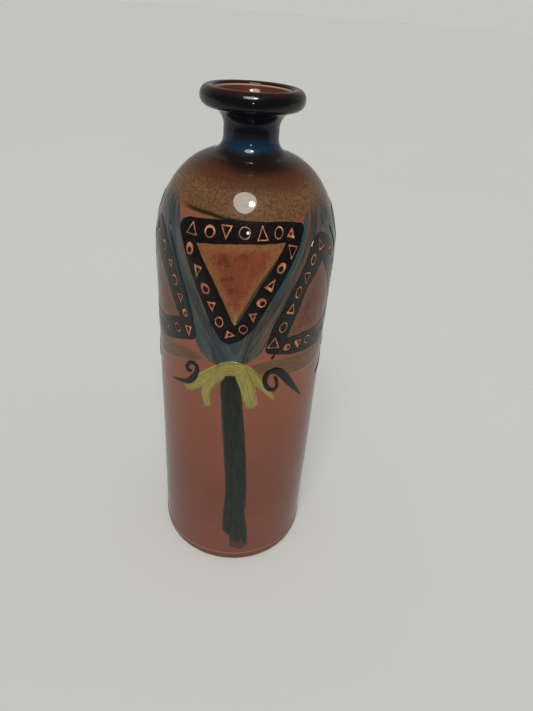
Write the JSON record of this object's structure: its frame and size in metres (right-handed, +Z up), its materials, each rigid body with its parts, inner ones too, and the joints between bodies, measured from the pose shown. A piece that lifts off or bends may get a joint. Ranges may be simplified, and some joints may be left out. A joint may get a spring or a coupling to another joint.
{
  "type": "bottle vase",
  "caption": "Tall glazed pottery bottle vase: straight body, domed shoulder, short neck, rolled lip, scratched black slip triangles and brushed plant motifs.",
  "frame": {"origin": "centre of the foot ring's resting plane", "axes": "+Z up the vase's axis towards the mouth; -Y is the front, where one plant motif stands"},
  "size_m": [0.1014, 0.1014, 0.3],
  "materials": {
    "terracotta": "glossy clear glaze over red clay",
    "brown_glaze": "glossy brown and olive glaze with dark specks",
    "blue_glaze": "glossy navy blue",
    "dark_iron_glaze": "glossy brown-black",
    "amber_lining": "glossy amber glaze",
    "black_slip": "black slip under clear glaze, scratched through",
    "ochre_slip": "ochre and red-brown slip under clear glaze, speckled",
    "blue_grey_wash": "brushed blue-grey wash under clear glaze",
    "leaf_green_slip": "brushed yellow-green slip under clear glaze",
    "charcoal_slip": "brushed charcoal slip under clear glaze",
    "olive_slip": "thin olive slip under clear glaze"
  },
  "bodies": {
    "root": {"base_disc": "terracotta", "black_frame_down_1": "black_slip", "black_frame_down_2": "black_slip", "black_frame_down_3": "black_slip", "black_frame_up_1": "black_slip", "black_frame_up_2": "black_slip", "black_frame_up_3": "black_slip", "blue_wash_1": "blue_grey_wash", "blue_wash_2": "blue_grey_wash", "blue_wash_3": "blue_grey_wash", "body_wall": "terracotta", "inner_glaze": "amber_lining", "leaf_spray_1": "leaf_green_slip", "leaf_spray_2": "leaf_green_slip", "leaf_spray_3": "leaf_green_slip", "left_curl_1": "charcoal_slip", "left_curl_2": "charcoal_slip", "left_curl_3": "charcoal_slip", "neck_blue_slip": "blue_glaze", "neck_collar": "blue_glaze", "ochre_field_down_1": "ochre_slip", "ochre_field_down_2": "ochre_slip", "ochre_field_down_3": "ochre_slip", "ochre_field_up_1": "ochre_slip", "ochre_field_up_2": "ochre_slip", "ochre_field_up_3": "ochre_slip", "olive_band_1": "olive_slip", "olive_band_2": "olive_slip", "olive_band_3": "olive_slip", "right_curl_1": "charcoal_slip", "right_curl_2": "charcoal_slip", "right_curl_3": "charcoal_slip", "rolled_lip": "dark_iron_glaze", "shoulder_dome": "brown_glaze", "stem_1": "charcoal_slip", "stem_2": "charcoal_slip", "stem_3": "charcoal_slip"}
  },
  "joints": []
}
